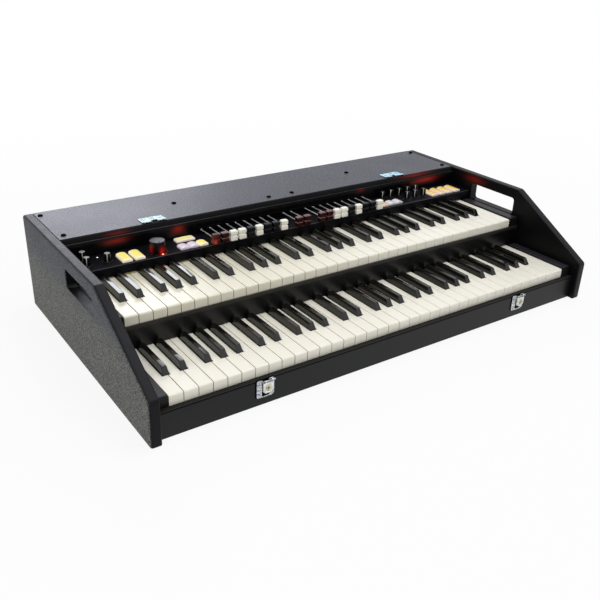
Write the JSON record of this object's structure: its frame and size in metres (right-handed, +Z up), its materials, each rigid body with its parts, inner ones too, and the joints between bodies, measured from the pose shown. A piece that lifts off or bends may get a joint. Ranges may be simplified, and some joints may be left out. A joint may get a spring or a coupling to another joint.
{
  "type": "drawbar organ",
  "caption": "Portable organ with two stepped manuals, sliding drawbars, tab switches and dials in a black case with hand slots in its side panels.",
  "frame": {"origin": "on the floor plane, under the middle of the case", "axes": "+X to the right end as the player sees it, +Y to the back, +Z up; the player sits at -Y"},
  "size_m": [0.926, 0.517, 0.1797],
  "materials": {
    "grained_case": "black grained coating",
    "textured_deck": "fine grained coating",
    "satin_case": "satin black",
    "gloss_panel": "gloss black",
    "keybed": "satin black",
    "control_panel": "satin black paint",
    "ivory_keys": "ivory, semi-gloss",
    "black_keys": "black, gloss",
    "brown_knobs": "dark brown",
    "white_knobs": "cream white",
    "black_knobs": "black",
    "black_plastic": "satin",
    "lit_tabs": "translucent, lit from below",
    "bright_steel": "bright plated",
    "zinc_guide": "plain",
    "circuit_board": "green board"
  },
  "bodies": {
    "case": {"left_side_panel": "grained_case", "right_side_panel": "grained_case", "top_deck": "textured_deck", "front_rail": "satin_case", "bottom_panel": "satin_case", "rear_panel": "satin_case", "upper_fascia": "gloss_panel", "backboard": "gloss_panel", "lower_keybed": "keybed", "upper_keybed": "keybed", "lower_manual": "ivory_keys", "upper_manual": "ivory_keys", "drawbar_guide": "zinc_guide", "control_panel": "control_panel", "main_board": "circuit_board", "rear_sockets": "black_plastic", "lid_hinge_left": "bright_steel", "lid_hinge_right": "bright_steel", "latch_plate_left": "bright_steel", "latch_plate_right": "bright_steel"},
    "upper_key_c": {"upper_key_c": "ivory_keys"},
    "upper_key_c_sharp": {"upper_key_c_sharp": "black_keys"},
    "upper_key_d": {"upper_key_d": "ivory_keys"},
    "upper_key_d_sharp": {"upper_key_d_sharp": "black_keys"},
    "upper_key_e": {"upper_key_e": "ivory_keys"},
    "upper_key_f": {"upper_key_f": "ivory_keys"},
    "upper_key_f_sharp": {"upper_key_f_sharp": "black_keys"},
    "upper_key_g": {"upper_key_g": "ivory_keys"},
    "upper_key_g_sharp": {"upper_key_g_sharp": "black_keys"},
    "upper_key_a": {"upper_key_a": "ivory_keys"},
    "upper_key_a_sharp": {"upper_key_a_sharp": "black_keys"},
    "upper_key_b": {"upper_key_b": "ivory_keys"},
    "upper_drawbar_1": {"upper_drawbar_1": "brown_knobs"},
    "upper_drawbar_2": {"upper_drawbar_2": "brown_knobs"},
    "upper_drawbar_3": {"upper_drawbar_3": "white_knobs"},
    "upper_drawbar_4": {"upper_drawbar_4": "white_knobs"},
    "upper_drawbar_5": {"upper_drawbar_5": "black_knobs"},
    "upper_drawbar_6": {"upper_drawbar_6": "white_knobs"},
    "upper_drawbar_7": {"upper_drawbar_7": "black_knobs"},
    "upper_drawbar_8": {"upper_drawbar_8": "black_knobs"},
    "upper_drawbar_9": {"upper_drawbar_9": "white_knobs"},
    "bass_drawbar_1": {"bass_drawbar_1": "brown_knobs"},
    "bass_drawbar_2": {"bass_drawbar_2": "brown_knobs"},
    "lower_drawbar_1": {"lower_drawbar_1": "brown_knobs"},
    "lower_drawbar_2": {"lower_drawbar_2": "brown_knobs"},
    "lower_drawbar_3": {"lower_drawbar_3": "white_knobs"},
    "lower_drawbar_4": {"lower_drawbar_4": "white_knobs"},
    "lower_drawbar_5": {"lower_drawbar_5": "black_knobs"},
    "lower_drawbar_6": {"lower_drawbar_6": "white_knobs"},
    "lower_drawbar_7": {"lower_drawbar_7": "black_knobs"},
    "lower_drawbar_8": {"lower_drawbar_8": "black_knobs"},
    "lower_drawbar_9": {"lower_drawbar_9": "white_knobs"},
    "latch_lever_left": {"latch_lever_left": "bright_steel"},
    "latch_lever_right": {"latch_lever_right": "bright_steel"},
    "volume_dial": {"volume_dial": "black_plastic"},
    "tone_dial": {"tone_dial": "black_plastic"},
    "drive_dial": {"drive_dial": "black_plastic"},
    "tab_switch_1": {"tab_switch_1": "lit_tabs"},
    "tab_switch_2": {"tab_switch_2": "lit_tabs"},
    "bar_switch": {"bar_switch": "lit_tabs"}
  },
  "joints": [
    {"name": "upper_key_c_press", "type": "hinge", "parent": "case", "child": "upper_key_c", "pos_m": [0, 0.126, 0.1067], "axis": [1, 0, 0], "range_deg": [0, 2.64], "stiffness_Nm_per_rad": 2, "springref_deg": -4.58},
    {"name": "upper_key_c_sharp_press", "type": "hinge", "parent": "case", "child": "upper_key_c_sharp", "pos_m": [0, 0.126, 0.1067], "axis": [1, 0, 0], "range_deg": [0, 2.64], "stiffness_Nm_per_rad": 2, "springref_deg": -4.58},
    {"name": "upper_key_d_press", "type": "hinge", "parent": "case", "child": "upper_key_d", "pos_m": [0, 0.126, 0.1067], "axis": [1, 0, 0], "range_deg": [0, 2.64], "stiffness_Nm_per_rad": 2, "springref_deg": -4.58},
    {"name": "upper_key_d_sharp_press", "type": "hinge", "parent": "case", "child": "upper_key_d_sharp", "pos_m": [0, 0.126, 0.1067], "axis": [1, 0, 0], "range_deg": [0, 2.64], "stiffness_Nm_per_rad": 2, "springref_deg": -4.58},
    {"name": "upper_key_e_press", "type": "hinge", "parent": "case", "child": "upper_key_e", "pos_m": [0, 0.126, 0.1067], "axis": [1, 0, 0], "range_deg": [0, 2.64], "stiffness_Nm_per_rad": 2, "springref_deg": -4.58},
    {"name": "upper_key_f_press", "type": "hinge", "parent": "case", "child": "upper_key_f", "pos_m": [0, 0.126, 0.1067], "axis": [1, 0, 0], "range_deg": [0, 2.64], "stiffness_Nm_per_rad": 2, "springref_deg": -4.58},
    {"name": "upper_key_f_sharp_press", "type": "hinge", "parent": "case", "child": "upper_key_f_sharp", "pos_m": [0, 0.126, 0.1067], "axis": [1, 0, 0], "range_deg": [0, 2.64], "stiffness_Nm_per_rad": 2, "springref_deg": -4.58},
    {"name": "upper_key_g_press", "type": "hinge", "parent": "case", "child": "upper_key_g", "pos_m": [0, 0.126, 0.1067], "axis": [1, 0, 0], "range_deg": [0, 2.64], "stiffness_Nm_per_rad": 2, "springref_deg": -4.58},
    {"name": "upper_key_g_sharp_press", "type": "hinge", "parent": "case", "child": "upper_key_g_sharp", "pos_m": [0, 0.126, 0.1067], "axis": [1, 0, 0], "range_deg": [0, 2.64], "stiffness_Nm_per_rad": 2, "springref_deg": -4.58},
    {"name": "upper_key_a_press", "type": "hinge", "parent": "case", "child": "upper_key_a", "pos_m": [0, 0.126, 0.1067], "axis": [1, 0, 0], "range_deg": [0, 2.64], "stiffness_Nm_per_rad": 2, "springref_deg": -4.58},
    {"name": "upper_key_a_sharp_press", "type": "hinge", "parent": "case", "child": "upper_key_a_sharp", "pos_m": [0, 0.126, 0.1067], "axis": [1, 0, 0], "range_deg": [0, 2.64], "stiffness_Nm_per_rad": 2, "springref_deg": -4.58},
    {"name": "upper_key_b_press", "type": "hinge", "parent": "case", "child": "upper_key_b", "pos_m": [0, 0.126, 0.1067], "axis": [1, 0, 0], "range_deg": [0, 2.64], "stiffness_Nm_per_rad": 2, "springref_deg": -4.58},
    {"name": "upper_drawbar_1_slide", "type": "slide", "parent": "case", "child": "upper_drawbar_1", "axis": [0, 1, 0], "range_m": [0, 0.032]},
    {"name": "upper_drawbar_2_slide", "type": "slide", "parent": "case", "child": "upper_drawbar_2", "axis": [0, 1, 0], "range_m": [0, 0.032]},
    {"name": "upper_drawbar_3_slide", "type": "slide", "parent": "case", "child": "upper_drawbar_3", "axis": [0, 1, 0], "range_m": [0, 0.032]},
    {"name": "upper_drawbar_4_slide", "type": "slide", "parent": "case", "child": "upper_drawbar_4", "axis": [0, 1, 0], "range_m": [0, 0.032]},
    {"name": "upper_drawbar_5_slide", "type": "slide", "parent": "case", "child": "upper_drawbar_5", "axis": [0, 1, 0], "range_m": [0, 0.032]},
    {"name": "upper_drawbar_6_slide", "type": "slide", "parent": "case", "child": "upper_drawbar_6", "axis": [0, 1, 0], "range_m": [0, 0.032]},
    {"name": "upper_drawbar_7_slide", "type": "slide", "parent": "case", "child": "upper_drawbar_7", "axis": [0, 1, 0], "range_m": [0, 0.032]},
    {"name": "upper_drawbar_8_slide", "type": "slide", "parent": "case", "child": "upper_drawbar_8", "axis": [0, 1, 0], "range_m": [0, 0.032]},
    {"name": "upper_drawbar_9_slide", "type": "slide", "parent": "case", "child": "upper_drawbar_9", "axis": [0, 1, 0], "range_m": [0, 0.032]},
    {"name": "bass_drawbar_1_slide", "type": "slide", "parent": "case", "child": "bass_drawbar_1", "axis": [0, 1, 0], "range_m": [0, 0.032]},
    {"name": "bass_drawbar_2_slide", "type": "slide", "parent": "case", "child": "bass_drawbar_2", "axis": [0, 1, 0], "range_m": [0, 0.032]},
    {"name": "lower_drawbar_1_slide", "type": "slide", "parent": "case", "child": "lower_drawbar_1", "axis": [0, 1, 0], "range_m": [0, 0.032]},
    {"name": "lower_drawbar_2_slide", "type": "slide", "parent": "case", "child": "lower_drawbar_2", "axis": [0, 1, 0], "range_m": [0, 0.032]},
    {"name": "lower_drawbar_3_slide", "type": "slide", "parent": "case", "child": "lower_drawbar_3", "axis": [0, 1, 0], "range_m": [0, 0.032]},
    {"name": "lower_drawbar_4_slide", "type": "slide", "parent": "case", "child": "lower_drawbar_4", "axis": [0, 1, 0], "range_m": [0, 0.032]},
    {"name": "lower_drawbar_5_slide", "type": "slide", "parent": "case", "child": "lower_drawbar_5", "axis": [0, 1, 0], "range_m": [0, 0.032]},
    {"name": "lower_drawbar_6_slide", "type": "slide", "parent": "case", "child": "lower_drawbar_6", "axis": [0, 1, 0], "range_m": [0, 0.032]},
    {"name": "lower_drawbar_7_slide", "type": "slide", "parent": "case", "child": "lower_drawbar_7", "axis": [0, 1, 0], "range_m": [0, 0.032]},
    {"name": "lower_drawbar_8_slide", "type": "slide", "parent": "case", "child": "lower_drawbar_8", "axis": [0, 1, 0], "range_m": [0, 0.032]},
    {"name": "lower_drawbar_9_slide", "type": "slide", "parent": "case", "child": "lower_drawbar_9", "axis": [0, 1, 0], "range_m": [0, 0.032]},
    {"name": "latch_lever_left_swing", "type": "hinge", "parent": "case", "child": "latch_lever_left", "pos_m": [-0.2651, -0.2491, 0.0421], "axis": [-1, 0, 0], "range_deg": [0, 100]},
    {"name": "latch_lever_right_swing", "type": "hinge", "parent": "case", "child": "latch_lever_right", "pos_m": [0.2937, -0.2491, 0.0421], "axis": [-1, 0, 0], "range_deg": [0, 100]},
    {"name": "volume_dial_turn", "type": "hinge", "parent": "case", "child": "volume_dial", "pos_m": [-0.292, 0.0715, 0.139], "axis": [0, 0, 1], "range_deg": [-150, 150]},
    {"name": "tone_dial_turn", "type": "hinge", "parent": "case", "child": "tone_dial", "pos_m": [-0.417, 0.0715, 0.139], "axis": [0, 0, 1], "range_deg": [-150, 150]},
    {"name": "drive_dial_turn", "type": "hinge", "parent": "case", "child": "drive_dial", "pos_m": [-0.382, 0.0715, 0.139], "axis": [0, 0, 1], "range_deg": [-150, 150]},
    {"name": "tab_switch_1_press", "type": "hinge", "parent": "case", "child": "tab_switch_1", "pos_m": [-0.3528, 0.089, 0.139], "axis": [1, 0, 0], "range_deg": [0, 3], "stiffness_Nm_per_rad": 0.1, "springref_deg": -5.73},
    {"name": "tab_switch_2_press", "type": "hinge", "parent": "case", "child": "tab_switch_2", "pos_m": [-0.3302, 0.089, 0.139], "axis": [1, 0, 0], "range_deg": [0, 3], "stiffness_Nm_per_rad": 0.1, "springref_deg": -5.73},
    {"name": "bar_switch_press", "type": "hinge", "parent": "case", "child": "bar_switch", "pos_m": [-0.2285, 0.1045, 0.139], "axis": [1, 0, 0], "range_deg": [0, 3], "stiffness_Nm_per_rad": 0.1, "springref_deg": -5.73}
  ]
}
